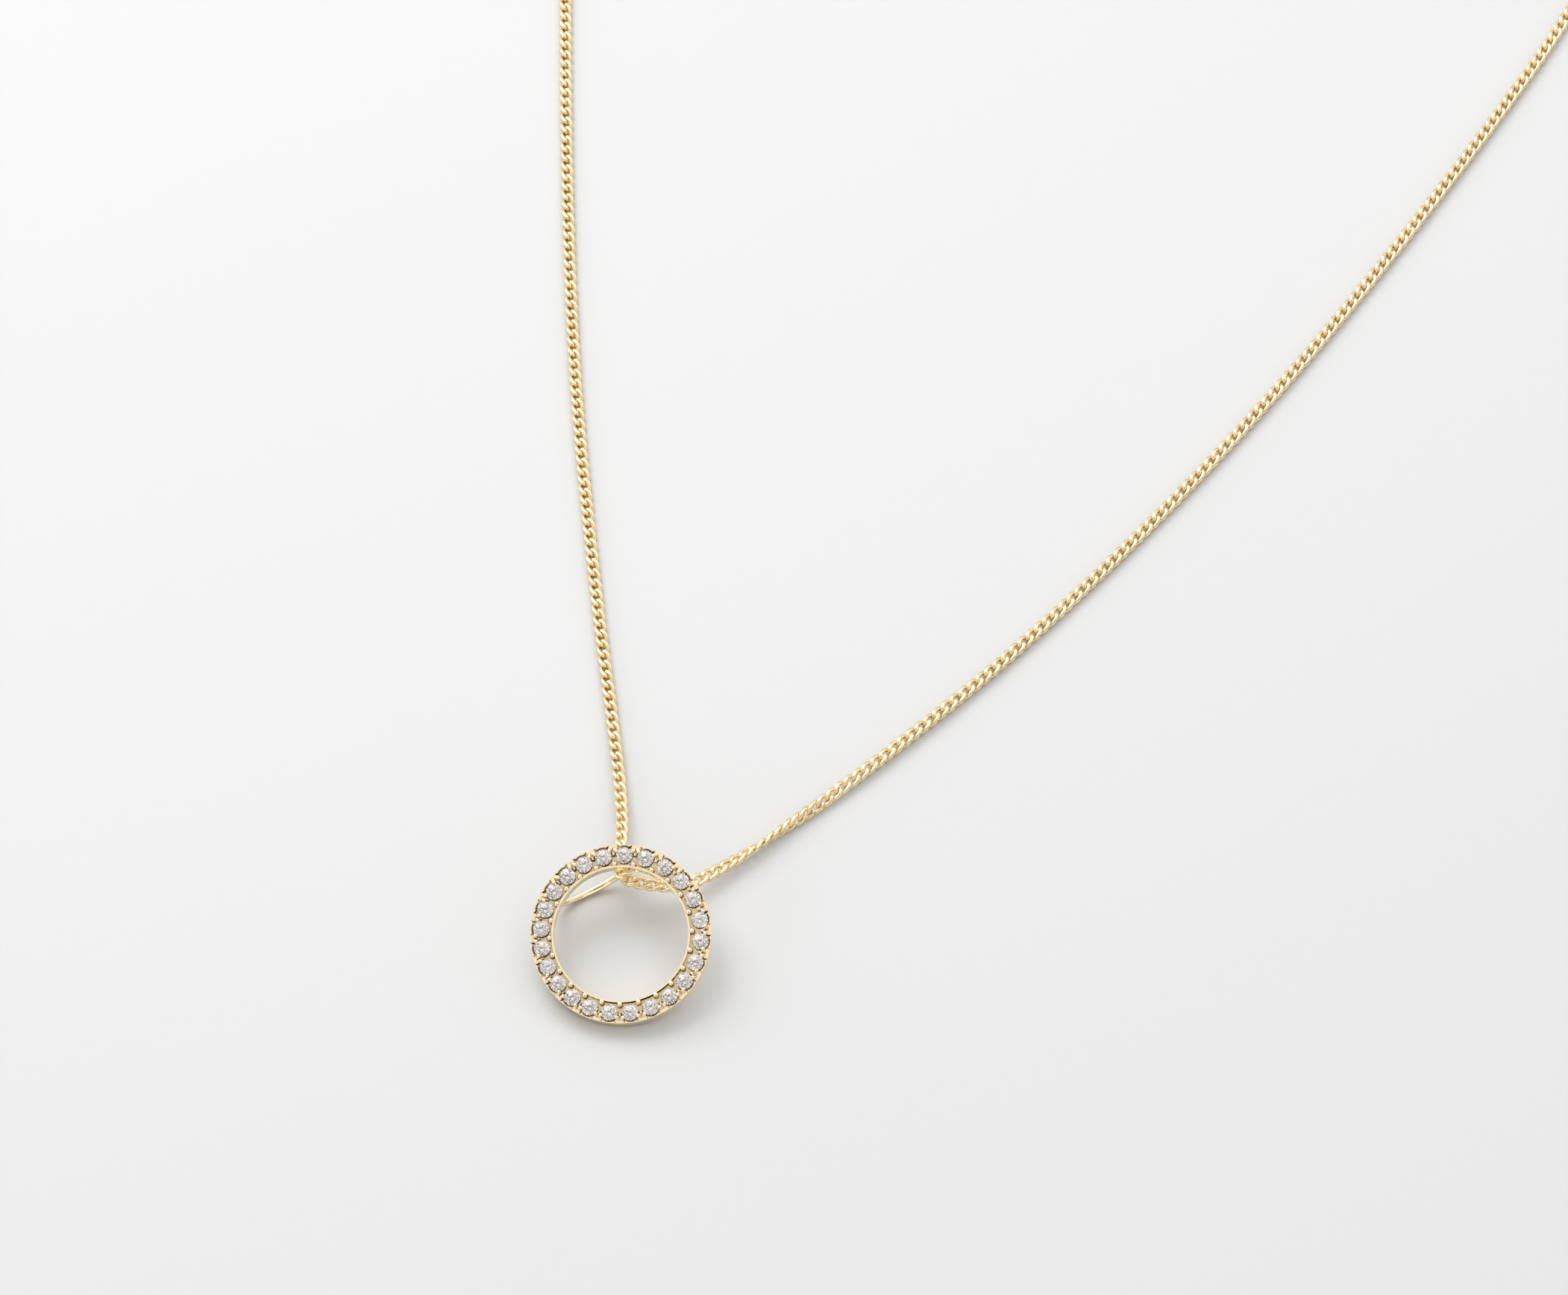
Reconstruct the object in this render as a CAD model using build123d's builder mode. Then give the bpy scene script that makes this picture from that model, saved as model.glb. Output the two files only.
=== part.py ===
from build123d import *
from math import asin, cos, degrees, hypot, pi, radians, sin, tan, tau
import os

# Open circle pendant set with a row of round stones, on a fine curb chain.
# Millimetres, +Z up. The necklace lies on a table as a closed loop: the origin
# is on the table, in the middle of the loop's box. Seen from above, the pendant
# is at the low end (-Y) and the clasp at the far end (+Y).

# Pendant circle
ring_outer_diameter = 12.0
ring_thickness = 1.2
outer_rim = 0.14  # metal outside the stones
inner_rim = 0.26  # metal inside the stones
inner_wall = 0.12  # thin wall left inside the beads
ring_edge_round = 0.1

# Stones, round brilliants
stone_diameter = 1.12
stone_gap = 0.2675  # from stone to stone along the row
girdle_height = 0.04
girdle_drop = 0.13  # middle of the girdle below the ring's face
table_share = 0.55
crown_angle = 34.5
pavilion_angle = 40.8
star_share = 0.5  # how far the star facets reach down the crown
lower_half_share = 0.77  # how far the lower halves reach down the pavilion
main_facets = 8

# How the setter placed the stones: nearly even, a little wider on one side
first_stone_angle = 84.4
row_drift = 3.0
drift_angle = 100.0
stone_spin_step = 37.0
stone_lean = 1.6

# Seats, and the beads and claws that hold the stones
seat_clearance = 0.04
seat_bevel = 0.06  # how far the bevelled mouth widens the seat
seat_hole_diameter = 0.56
groove_depth = 0.32
bead_diameter = 0.4
bead_post_diameter = 0.32
bead_rise = 0.1  # top of the beads above the ring's face
bead_sink = 0.07  # how far a bead runs into the inner wall
claw_diameter = 0.27
claw_length = 0.18  # from the claw's root to the middle of its round tip
claw_root_depth = 0.09  # how far the claw runs on into the metal
claw_outset = 0.06  # root outside the edge of the seat's mouth
claw_sink = 0.03  # root below the ring's face
claw_lean = 48.0  # from upright, over the stone
claw_turn = 62.0  # either side of the stone's outer side
claw_wander = 4.0
notch_width = 0.08  # cut between the claws of two stones
notch_length = 0.3
notch_depth = 0.14
notch_reach = 0.35  # middle of the notch outside the stones' row
graver_turn = 37.0  # three-cornered cut on the rim's side of each claw
graver_width = 0.26  # of the cut at the stone's edge
graver_reach = 0.24  # from the edge of the seat to the cut's tip
graver_depth = 0.3

# Bail, a wire hoop soldered behind the ring
bail_wire_diameter = 0.45
bail_depth = 2.95  # from the ring's back to the outside of the hoop
bail_leg = 0.6  # straight part of each leg
bail_right_angle = 79.0
bail_left_angle = 153.5
bail_solder_depth = 0.25
tilt_rounds = 30  # enough for the resting slope to settle

# Where the pendant lies, and which way its raised side points
ring_x = -38.1
ring_y = -94.4
raised_side_angle = 79.8

# Chain
chain_width = 0.9

# Spring ring clasp and the two small rings that join it to the chain
clasp_x = -0.1
clasp_y = 97.35
clasp_diameter = 5.0
clasp_tube_diameter = 1.1
clasp_lift = 0.45  # how much higher its far side lies
clasp_eye_diameter = 1.5
clasp_eye_wire = 0.4
clasp_eye_overlap = 0.25
trigger_length = 0.7
trigger_width = 0.5
trigger_angle = 125.0
link_ring_diameter = 2.16
link_ring_wire = 0.36
end_ring_diameter = 2.4
end_ring_lean = 30.0
hook_clearance = 0.05
chain_end_clearance = 0.1

# Middle line of the chain: x, y and height of each corner of its route, from the
# clasp down the left side, through the bail and up the right side to the clasp
chain_route = [
    (-11.5, clasp_y - 0.35, 0.45),
    (-21.3, 91.4, 0.45),
    (-30.9, 77.8, 0.45),
    (-37.9, 57.9, 0.45),
    (-41.7, 33.8, 0.45),
    (-42.9, 7.1, 0.45),
    (-42.9, -19.8, 0.45),
    (-42.1, -46.7, 0.45),
    (-40.2, -66.4, 0.45),
    (-38.6, -78.9, 0.45),
    (-38.0, -85.6, 1.0),
    (-38.6, -89.8, 2.2),
    (-35.7, -90.1, 1.65),
    (-33.6, -89.8, 1.1),
    (-29.8, -87.1, 0.45),
    (-22.8, -81.6, 0.45),
    (-9.9, -70.0, 0.45),
    (5.1, -53.1, 0.45),
    (18.4, -34.9, 0.45),
    (30.6, -16.1, 0.45),
    (38.5, 2.6, 0.45),
    (43.2, 23.6, 0.45),
    (43.8, 45.1, 0.45),
    (39.9, 65.6, 0.45),
    (31.9, 81.9, 0.45),
    (21.2, 93.0, 0.45),
    (9.7, clasp_y - 0.15, 0.6),
]
bend_share = 0.45  # part of the shorter run that each bend takes up

# Sizes that follow
ring_outer_radius = ring_outer_diameter / 2
stone_radius = stone_diameter / 2
stone_circle_radius = ring_outer_radius - outer_rim - stone_radius
ring_inner_radius = stone_circle_radius - stone_radius - inner_rim
stone_count = round(tau * stone_circle_radius / (stone_diameter + stone_gap))
seat_radius = stone_radius + seat_clearance
chain_radius = chain_width / 2
girdle_half = girdle_height / 2
pavilion_depth = stone_radius * tan(radians(pavilion_angle))
crown_height = stone_radius * (1 - table_share) * tan(radians(crown_angle))


def stone_angle(number):
    """Angle of a stone around the ring, clockwise from the top one."""
    even = first_stone_angle - number * 360 / stone_count
    return even + row_drift * cos(radians(even - drift_angle))


stone_angles = [stone_angle(number) for number in range(stone_count)]
gap_angles = [
    (stone_angle(number) + stone_angle(number + 1)) / 2 for number in range(stone_count)
]


def nearest_gap(angle):
    """The gap between two stones that lies nearest to an angle."""
    return min(gap_angles, key=lambda gap: abs((gap - angle + 180) % 360 - 180))


# The hoop's two feet, and its middle line's half width and depth
right_foot = radians(nearest_gap(bail_right_angle))
left_foot = radians(nearest_gap(bail_left_angle))
bail_half_turn = (left_foot - right_foot) % tau / 2
bail_half_width = stone_circle_radius * sin(bail_half_turn)
bail_middle_radius = stone_circle_radius * cos(bail_half_turn)
bail_middle_angle = right_foot + bail_half_turn
bail_bow = bail_depth - bail_wire_diameter / 2 - bail_leg


def resting_tilt():
    """Slope at which the ring's low edge and the hoop both touch the table."""
    towards = bail_middle_angle - radians(raised_side_angle)
    reach = ring_outer_radius - ring_edge_round + bail_middle_radius * cos(towards)
    tilt = 0.0
    for _ in range(tilt_rounds):
        across = bail_half_width * sin(towards) * sin(tilt)
        drop = hypot(across, bail_bow * cos(tilt)) + bail_leg * cos(tilt)
        drop += bail_wire_diameter / 2 - ring_edge_round * (1 - cos(tilt))
        tilt = asin(drop / reach)
    return tilt


ring_tilt = resting_tilt()
rim_height = (ring_outer_radius - ring_edge_round) * sin(ring_tilt)
back_height = (ring_thickness - ring_edge_round) * cos(ring_tilt)
ring_height = rim_height + back_height + ring_edge_round
raised_side = radians(raised_side_angle)
tilt_axis = Axis((0, 0, 0), (sin(raised_side), -cos(raised_side), 0))
ring_face = Plane(
    origin=(ring_x, ring_y, ring_height),
    x_dir=Vector(1, 0, 0).rotate(tilt_axis, degrees(ring_tilt)),
    z_dir=Vector(0, 0, 1).rotate(tilt_axis, degrees(ring_tilt)),
)


def on_ring(angle, radius, height=0.0, spin=0.0):
    """Plane on the ring, square to its face, with x pointing outwards plus a spin."""
    turn = radians(angle)
    facing = radians(angle + spin)
    return Plane(
        origin=ring_face.from_local_coords((radius * cos(turn), radius * sin(turn), height)),
        x_dir=ring_face.x_dir * cos(facing) + ring_face.y_dir * sin(facing),
        z_dir=ring_face.z_dir,
    )


# Round brilliant, its girdle's middle on the XY plane. Each row of facets: how
# many, the first one's angle, its slope, and the radius and height it passes.
half_step = 360 / main_facets / 2
quarter_step = half_step / 2
table_flat = table_share * cos(radians(half_step))
star_tip = table_flat + (1 - table_flat) * star_share
star_tip_height = (1 - star_tip * cos(radians(half_step))) * tan(radians(crown_angle))
star_slope = (crown_height / stone_radius - star_tip_height) / (star_tip - table_flat)
halves_flat = cos(radians(quarter_step))
upper_half_slope = star_tip_height / (halves_flat - star_tip * halves_flat)
lower_tip = 1 - lower_half_share
lower_tip_depth = (1 - lower_tip * cos(radians(half_step))) * tan(radians(pavilion_angle))
lower_half_slope = lower_tip_depth / (halves_flat - lower_tip * halves_flat)
main_lift = 0.012  # keeps the main facets' points just clear of the girdle

crown_facets = [
    (2 * main_facets, quarter_step, upper_half_slope, halves_flat, 0.0),
    (main_facets, 0.0, tan(radians(crown_angle)), 1 + main_lift, 0.0),
    (main_facets, half_step, star_slope, table_flat, crown_height / stone_radius),
]
pavilion_facets = [
    (2 * main_facets, quarter_step, lower_half_slope, halves_flat, 0.0),
    (main_facets, 0.0, tan(radians(pavilion_angle)), 1 + main_lift, 0.0),
]


def facet_planes(rows, side):
    """Planes of one side's facets, facing out of the stone."""
    for count, first_angle, slope, reach, height in rows:
        for step in range(count):
            turn = radians(first_angle + step * 360 / count)
            out_x = stone_radius * reach * cos(turn)
            out_y = stone_radius * reach * sin(turn)
            level = side * (girdle_half + stone_radius * height)
            facing = (slope * cos(turn), slope * sin(turn), side)
            yield Plane(origin=(out_x, out_y, level), z_dir=facing)


with BuildPart() as brilliant:
    with BuildSketch(Plane.XY.offset(-girdle_half - pavilion_depth)):
        RegularPolygon(radius=stone_radius, side_count=2 * main_facets)
    extrude(amount=pavilion_depth + girdle_height + crown_height)
    for facet in facet_planes(crown_facets, 1):
        split(bisect_by=facet, keep=Keep.BOTTOM)
    for facet in facet_planes(pavilion_facets, -1):
        split(bisect_by=facet, keep=Keep.BOTTOM)

# Seat for one stone: a bevelled mouth, a straight wall, a cone that follows the
# pavilion and a small hole through the back
seat_floor = -girdle_drop - girdle_half - seat_clearance
hole_radius = seat_hole_diameter / 2
cone_end = seat_floor - (seat_radius - hole_radius) * tan(radians(pavilion_angle))
mouth_radius = seat_radius + seat_bevel
above_face = ring_thickness / 2

with BuildPart() as seat_cutter:
    with BuildSketch(Plane.XZ):
        with BuildLine():
            Polyline(
                (0, -ring_thickness - above_face),
                (hole_radius, -ring_thickness - above_face),
                (hole_radius, cone_end),
                (seat_radius, seat_floor),
                (seat_radius, -seat_bevel),
                (mouth_radius, 0),
                (mouth_radius, above_face),
                (0, above_face),
                close=True,
            )
        make_face()
    revolve(axis=Axis.Z)

# Round bead on a post, its foot on the groove's floor
bead_radius = bead_diameter / 2
bead_circle_radius = ring_inner_radius + inner_wall + bead_radius - bead_sink
bead_middle = bead_rise - bead_radius

with BuildPart() as bead:
    with BuildSketch(Plane.XY.offset(-groove_depth - bead_sink)):
        Circle(bead_post_diameter / 2)
    extrude(amount=groove_depth + bead_sink + bead_middle)
    with Locations((0, 0, bead_middle)):
        Sphere(bead_radius)

# Claw with a round tip, its root at the origin
claw_radius = claw_diameter / 2

with BuildPart() as claw:
    with BuildSketch(Plane.XZ):
        with BuildLine():
            Polyline(
                (0, claw_length + claw_radius),
                (0, -claw_root_depth),
                (claw_radius, -claw_root_depth),
                (claw_radius, claw_length),
            )
            CenterArc((0, claw_length), claw_radius, 0, 90)
        make_face()
    revolve(axis=Axis.Z)


def claw_planes(number):
    """Planes of the two claws that lean over a stone from the ring's outer side."""
    seat = on_ring(stone_angles[number], stone_circle_radius)
    for side in (-1, 1):
        turn = radians(side * claw_turn + claw_wander * sin(2 * number + side))
        outwards = seat.x_dir * cos(turn) + seat.y_dir * sin(turn)
        root = seat.origin + outwards * (mouth_radius + claw_outset) - seat.z_dir * claw_sink
        lean = radians(claw_lean)
        yield Plane(origin=root, z_dir=seat.z_dir * cos(lean) - outwards * sin(lean))


# Cut of a three-cornered graver beside a claw, its wide end over the seat
with BuildPart() as graver_cut:
    with BuildSketch(Plane.XY.offset(above_face)):
        with BuildLine():
            Polyline(
                (stone_radius, -graver_width / 2),
                (seat_radius + graver_reach, 0),
                (stone_radius, graver_width / 2),
                close=True,
            )
        make_face()
    extrude(amount=-above_face - graver_depth)

graver_planes = [
    on_ring(angle, stone_circle_radius, 0, side * graver_turn)
    for angle in stone_angles
    for side in (-1, 1)
]

# Ring and bail, soldered into one piece of metal
notch_radius = stone_circle_radius + notch_reach

bail_side = Plane(
    origin=ring_face.from_local_coords(
        (
            bail_middle_radius * cos(bail_middle_angle),
            bail_middle_radius * sin(bail_middle_angle),
            -ring_thickness,
        )
    ),
    x_dir=ring_face.x_dir * sin(bail_middle_angle) - ring_face.y_dir * cos(bail_middle_angle),
    z_dir=ring_face.x_dir * cos(bail_middle_angle) + ring_face.y_dir * sin(bail_middle_angle),
)

through_ring = Axis(ring_face.origin, ring_face.z_dir)

with BuildPart() as pendant_setting:
    with BuildSketch(ring_face):
        Circle(ring_outer_radius)
        Circle(ring_inner_radius, mode=Mode.SUBTRACT)
    extrude(amount=-ring_thickness)
    back_edges = pendant_setting.edges().filter_by(GeomType.CIRCLE).sort_by(through_ring)[:2]
    fillet(back_edges, ring_edge_round)
    with BuildSketch(ring_face):
        Circle(stone_circle_radius)
        Circle(ring_inner_radius + inner_wall, mode=Mode.SUBTRACT)
    extrude(amount=-groove_depth, mode=Mode.SUBTRACT)
    with Locations(*[on_ring(angle, stone_circle_radius) for angle in stone_angles]):
        add(seat_cutter.part, mode=Mode.SUBTRACT)
    with Locations(*graver_planes):
        add(graver_cut.part, mode=Mode.SUBTRACT)
    with Locations(*[on_ring(angle, bead_circle_radius) for angle in gap_angles]):
        add(bead.part)
    for number in range(stone_count):
        with Locations(*claw_planes(number)):
            add(claw.part)
    with Locations(*[on_ring(angle, notch_radius) for angle in gap_angles]):
        Box(notch_length, notch_width, 2 * notch_depth, mode=Mode.SUBTRACT)
    with BuildLine(bail_side) as bail_line:
        Line((bail_half_width, -bail_solder_depth), (bail_half_width, bail_leg))
        EllipticalCenterArc((0, bail_leg), bail_half_width, bail_bow, 0, arc_size=180)
        Line((-bail_half_width, bail_leg), (-bail_half_width, -bail_solder_depth))
    with BuildSketch(Plane(origin=bail_line.line @ 0, z_dir=bail_line.line % 0)):
        Circle(bail_wire_diameter / 2)
    sweep(path=bail_line.line)

pendant_setting.part.label = "pendant_setting"

# Clasp: a plain spring ring that lies on the table at its eye, and is held up by
# the wire of the end ring on its other side
clasp_tube_radius = clasp_tube_diameter / 2
clasp_radius = clasp_diameter / 2 - clasp_tube_radius
clasp_tilt = asin(clasp_lift / (2 * clasp_radius))
clasp_height = clasp_tube_radius + clasp_radius * sin(clasp_tilt)
clasp_plane = Plane(
    origin=(clasp_x, clasp_y, clasp_height),
    x_dir=(cos(clasp_tilt), 0, sin(clasp_tilt)),
    z_dir=(-sin(clasp_tilt), 0, cos(clasp_tilt)),
)
eye_radius = (clasp_eye_diameter - clasp_eye_wire) / 2
eye_x = clasp_x - clasp_diameter / 2 - clasp_eye_diameter / 2 + clasp_eye_overlap
eye_height = clasp_eye_diameter / 2
trigger_turn = radians(trigger_angle)

with BuildPart() as clasp:
    with Locations(clasp_plane):
        Torus(clasp_radius, clasp_tube_radius)
    with Locations(Plane(origin=(eye_x, clasp_y, eye_height), z_dir=(0, 1, 0))):
        Torus(eye_radius, clasp_eye_wire / 2)
    trigger_x = clasp_radius * cos(trigger_turn)
    trigger_y = clasp_radius * sin(trigger_turn)
    trigger_root = clasp_plane.from_local_coords((trigger_x, trigger_y, 0))
    trigger_way = clasp_plane.x_dir * cos(trigger_turn) + clasp_plane.y_dir * sin(trigger_turn)
    with BuildSketch(Plane(origin=trigger_root, z_dir=trigger_way)):
        Circle(trigger_width / 2)
    extrude(amount=clasp_tube_radius + trigger_length)

clasp.part.label = "clasp"

# Ring between the clasp's eye and the chain, lifted by the chain's first link
link_ring_radius = (link_ring_diameter - link_ring_wire) / 2
wire_radius = link_ring_wire / 2
eye_inner = eye_radius - clasp_eye_wire / 2
held_x = eye_x - eye_inner + wire_radius + hook_clearance
link_slope = asin((eye_height - chain_radius) / (2 * link_ring_radius))
link_x = held_x - link_ring_radius * cos(link_slope)

with BuildPart() as clasp_ring:
    with Locations(
        Plane(
            origin=(link_x, clasp_y, (eye_height + chain_radius) / 2),
            x_dir=(cos(link_slope), 0, sin(link_slope)),
            z_dir=(-sin(link_slope), 0, cos(link_slope)),
        )
    ):
        Torus(link_ring_radius, wire_radius)

clasp_ring.part.label = "clasp_ring"

# Ring on the chain's other end, hooked round the clasp's tube and leaning over
lean = radians(end_ring_lean)
end_ring_x = clasp_x + clasp_radius * cos(clasp_tilt) + 2 * hook_clearance
end_ring_radius = (end_ring_diameter - link_ring_wire) / 2
end_ring_height = end_ring_radius * cos(lean) + wire_radius

with BuildPart() as end_ring:
    with Locations(
        Plane(
            origin=(end_ring_x, clasp_y, end_ring_height),
            x_dir=(1, 0, 0),
            z_dir=(0, cos(lean), sin(lean)),
        )
    ):
        Torus(end_ring_radius, wire_radius)

end_ring.part.label = "end_ring"

# Chain, as the round space that its links fill
chain_start_x = held_x - 2 * link_ring_radius * cos(link_slope) - wire_radius - chain_end_clearance
chain_end_x = end_ring_x + end_ring_radius + wire_radius + chain_end_clearance
route = [
    Vector(chain_start_x, clasp_y, chain_radius),
    *[Vector(*corner) for corner in chain_route],
    Vector(chain_end_x, clasp_y, end_ring_height),
]


def bend_radius(corner):
    """Radius of the bend at a corner: as large as its two runs allow."""
    before = route[corner] - route[corner - 1]
    after = route[corner + 1] - route[corner]
    shorter = min(before.length, after.length)
    return bend_share * shorter / tan(radians(before.get_angle(after)) / 2)


bend_radii = [bend_radius(corner) for corner in range(1, len(route) - 1)]

with BuildPart() as chain:
    with BuildLine() as chain_line:
        FilletPolyline(*route, radius=bend_radii)
    with BuildSketch(Plane(origin=chain_line.line @ 0, z_dir=chain_line.line % 0)):
        Circle(chain_radius)
    sweep(path=chain_line.line)

chain.part.label = "chain"

os.makedirs("parts", exist_ok=True)
for piece in (pendant_setting, chain, clasp, clasp_ring, end_ring):
    export_step(piece.part, f"parts/{piece.part.label}.step")

for number, angle in enumerate(stone_angles):
    seat = on_ring(angle, stone_circle_radius, -girdle_drop, number * stone_spin_step)
    leaning = seat.rotated((stone_lean * sin(number), stone_lean * cos(number), 0))
    with BuildPart() as stone:
        with Locations(leaning):
            add(brilliant.part)
    stone.part.label = f"stone_{number + 1:02d}"
    export_step(stone.part, f"parts/{stone.part.label}.step")

print("stones", stone_count, "ring tilt", round(degrees(ring_tilt), 2))
print("ring height", round(ring_height, 3))
print("bend radii", [round(radius, 2) for radius in bend_radii])
chain_length = chain_line.wire().length
tube_volume = pi * chain_radius**2 * chain_length
print("chain length", round(chain_length, 2))
print("chain volume", round(chain.part.volume, 3), "section times length", round(tube_volume, 3))
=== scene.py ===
# %% [markdown]
# # An open circle pendant on a fine curb chain
#
# The real thing is a small flat circle of pale gold, set all round with clear stones, and
# hung by a wire bail from a chain of flattened curb links. It lies on a sheet of white paper.
# The measured model already holds the setting, the stones and the clasp at their real size.
# This scene gives them their finish, makes the links that the chain's plain tube stands for,
# and lights it all as the photograph does.

# %% Load the measured model
from math import cos, pi, radians, sin, tau

import bpy
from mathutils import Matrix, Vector


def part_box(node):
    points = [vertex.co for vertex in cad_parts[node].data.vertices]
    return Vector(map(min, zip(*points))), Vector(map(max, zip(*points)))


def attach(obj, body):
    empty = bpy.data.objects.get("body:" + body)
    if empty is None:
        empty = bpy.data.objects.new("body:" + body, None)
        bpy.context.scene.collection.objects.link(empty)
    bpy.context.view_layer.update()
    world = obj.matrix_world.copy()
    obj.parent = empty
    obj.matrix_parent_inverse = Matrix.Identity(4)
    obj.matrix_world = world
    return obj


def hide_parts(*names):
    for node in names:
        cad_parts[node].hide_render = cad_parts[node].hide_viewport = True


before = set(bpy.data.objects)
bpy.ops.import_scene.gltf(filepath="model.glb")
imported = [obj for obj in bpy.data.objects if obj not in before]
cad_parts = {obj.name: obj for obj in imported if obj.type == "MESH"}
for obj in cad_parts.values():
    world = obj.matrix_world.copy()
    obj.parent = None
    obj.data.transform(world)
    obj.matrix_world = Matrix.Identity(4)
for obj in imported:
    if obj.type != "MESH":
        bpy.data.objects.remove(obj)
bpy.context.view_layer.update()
MM = 0.001
print("pieces in the model", len(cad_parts))

# %% [markdown]
# ## Camera
#
# The photograph looks down at the pendant from about 60 degrees above the paper, through a
# long lens, so near and far links look the same size. The view could be matched by eye, but
# a lens length, a distance and a point on the paper say the same thing and can be checked.

# %% Place the camera
VIEW_ELEVATION = radians(60)
VIEW_DISTANCE = 555.8 * MM
VIEW_CENTRE = Vector((-27.31, -70.84, 0)) * MM
LENS_LENGTH = 188.15
SENSOR_WIDTH = 36
NEAREST_SEEN = 10 * MM
FARTHEST_SEEN = 20

camera = bpy.data.objects.new("camera", bpy.data.cameras.new("camera"))
camera.data.sensor_fit = "HORIZONTAL"
camera.data.sensor_width = SENSOR_WIDTH
camera.data.lens = LENS_LENGTH
camera.data.clip_start = NEAREST_SEEN
camera.data.clip_end = FARTHEST_SEEN
towards_camera = Vector((0, -cos(VIEW_ELEVATION), sin(VIEW_ELEVATION)))
camera.location = VIEW_CENTRE + towards_camera * VIEW_DISTANCE
camera.rotation_euler = (-towards_camera).to_track_quat("-Z", "Y").to_euler()
bpy.context.scene.collection.objects.link(camera)
bpy.context.scene.camera = camera
print("camera at", [round(value / MM, 1) for value in camera.location], "mm")

# %% [markdown]
# ## Small helpers for node trees
#
# Every shape and finish below is a tree of nodes. Written out in full, each node would take
# several lines. These few helpers add a node, feed its sockets with numbers or with other
# sockets, take vectors apart and put them together, and make a group with named inputs, so
# that the later cells can be read as sums.

# %% Node helpers
FLOAT = "NodeSocketFloat"
WHOLE = "NodeSocketInt"
VECTOR = "NodeSocketVector"
GEOMETRY = "NodeSocketGeometry"


def add_node(tree, kind, inputs=None, **settings):
    """A node with its settings, and its inputs fed by name or by place."""
    node = tree.nodes.new(kind)
    for name, value in settings.items():
        setattr(node, name, value)
    for name, value in (inputs or {}).items():
        feed(tree, node.inputs[name], value)
    return node


def feed(tree, socket, value):
    """Gives a socket a link from another socket, or a plain value."""
    if isinstance(value, bpy.types.NodeSocket):
        tree.links.new(value, socket)
    else:
        socket.default_value = value


def sum_of(tree, operation, *values):
    """The result of a Math node."""
    places = dict(enumerate(values))
    return add_node(tree, "ShaderNodeMath", places, operation=operation).outputs[0]


def parts_of(tree, vector):
    """The X, Y and Z of a vector."""
    return add_node(tree, "ShaderNodeSeparateXYZ", {0: vector}).outputs


def vector_of(tree, **parts):
    """A vector from its X, Y and Z."""
    return add_node(tree, "ShaderNodeCombineXYZ", parts).outputs[0]


def new_group(kind, name, inputs, outputs):
    """An empty node group, with its named inputs and outputs as the tree sees them."""
    tree = bpy.data.node_groups.new(name, kind)
    for title, socket_type, value in inputs:
        socket = tree.interface.new_socket(title, in_out="INPUT", socket_type=socket_type)
        if value is not None:
            socket.default_value = value
    for title, socket_type in outputs:
        tree.interface.new_socket(title, in_out="OUTPUT", socket_type=socket_type)
    return tree, tree.nodes.new("NodeGroupInput").outputs, tree.nodes.new("NodeGroupOutput").inputs


print("helpers for node trees ready")

# %% [markdown]
# ## Polishing waves
#
# Cast and polished gold is never quite even: the polishing wheel leaves fine waves in the
# surface and in its gloss. They could be drawn as scratches, but at this size only a soft
# noise shows. The setting, the chain and the clasp all have it, each with waves of its own
# size, so it is a node group that is built once. A noise seldom leaves the middle of its
# range, so that middle is stretched over the whole span of the gloss.

# %% Group for the waves
FINE_WAVES_TO_BROAD = 6.0
FINE_SHARE_OF_HEIGHT = 0.15
NOISE_LEAST = 0.3
NOISE_MOST = 0.7

polish, polish_in, polish_out = new_group(
    "ShaderNodeTree",
    "polish_waves",
    [
        ("Point", VECTOR, None),
        ("Wave size", FLOAT, 0.3),
        ("Smoothest", FLOAT, 0.1),
        ("Roughest", FLOAT, 0.2),
    ],
    [("Roughness", FLOAT), ("Height", FLOAT)],
)
waves_per_metre = sum_of(polish, "DIVIDE", 1 / MM, polish_in["Wave size"])
broad = add_node(
    polish,
    "ShaderNodeTexNoise",
    {"Vector": polish_in["Point"], "Scale": waves_per_metre, "Detail": 2.0, "Roughness": 0.5},
)
fine_per_metre = sum_of(polish, "MULTIPLY", waves_per_metre, FINE_WAVES_TO_BROAD)
fine = add_node(
    polish,
    "ShaderNodeTexNoise",
    {"Vector": polish_in["Point"], "Scale": fine_per_metre, "Detail": 3.0},
)
spread = add_node(
    polish,
    "ShaderNodeMapRange",
    {
        "Value": fine.outputs["Fac"],
        "From Min": NOISE_LEAST,
        "From Max": NOISE_MOST,
        "To Min": polish_in["Smoothest"],
        "To Max": polish_in["Roughest"],
    },
)
height = sum_of(
    polish, "MULTIPLY_ADD", fine.outputs["Fac"], FINE_SHARE_OF_HEIGHT, broad.outputs["Fac"]
)
feed(polish, polish_out["Roughness"], spread.outputs[0])
feed(polish, polish_out["Height"], height)
print("group", polish.name)

# %% [markdown]
# ## Painted shade in hidden places
#
# The cuts between the claws and the gaps between links are painted a deeper colour, as shade
# for the light that gets in there and meets the gold more than once. They could be painted one
# by one. Ambient occlusion finds them all, as it tells how open each point is.

# %% Group for the painted shade in recesses
OPENNESS_RAYS = 8

painted_shade_mask, painted_shade_in, painted_shade_out = new_group(
    "ShaderNodeTree",
    "painted_shade_mask",
    [("Reach", FLOAT, 0.5 * MM), ("Strength", FLOAT, 1.0)],
    [("Open", FLOAT)],
)
occlusion = add_node(
    painted_shade_mask,
    "ShaderNodeAmbientOcclusion",
    {"Distance": painted_shade_in["Reach"]},
    samples=OPENNESS_RAYS,
)
openness = sum_of(painted_shade_mask, "POWER", occlusion.outputs["AO"], painted_shade_in["Strength"])
feed(painted_shade_mask, painted_shade_out["Open"], openness)
print("group", painted_shade_mask.name)
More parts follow.
